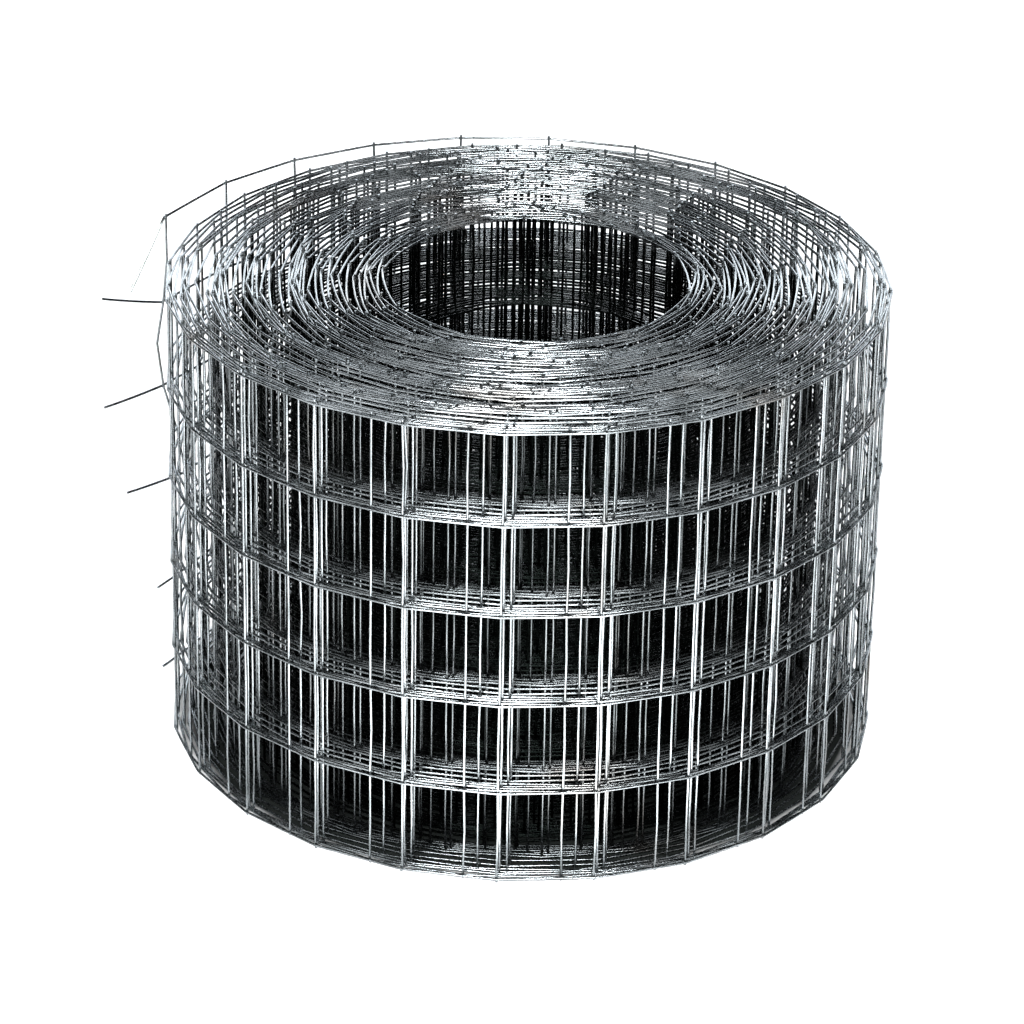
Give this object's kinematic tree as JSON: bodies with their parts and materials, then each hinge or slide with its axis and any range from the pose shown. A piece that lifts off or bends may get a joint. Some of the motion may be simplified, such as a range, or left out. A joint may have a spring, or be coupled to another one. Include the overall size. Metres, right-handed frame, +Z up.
{
  "type": "roll of masonry reinforcing mesh",
  "caption": "Roll of welded wire mesh for masonry bed joints, standing on its end, with an open bore and a loose cut end.",
  "frame": {"origin": "where the bore's axis meets the floor that the roll stands on", "axes": "+Z up along the bore's axis; -X towards the loose end's cut tails; +Y towards the side where the outermost turn stands off"},
  "size_m": [0.4156, 0.3895, 0.2544],
  "materials": {
    "steel_wire": "bright drawn wire"
  },
  "bodies": {
    "root": {"mesh_roll": "steel_wire"}
  },
  "joints": []
}
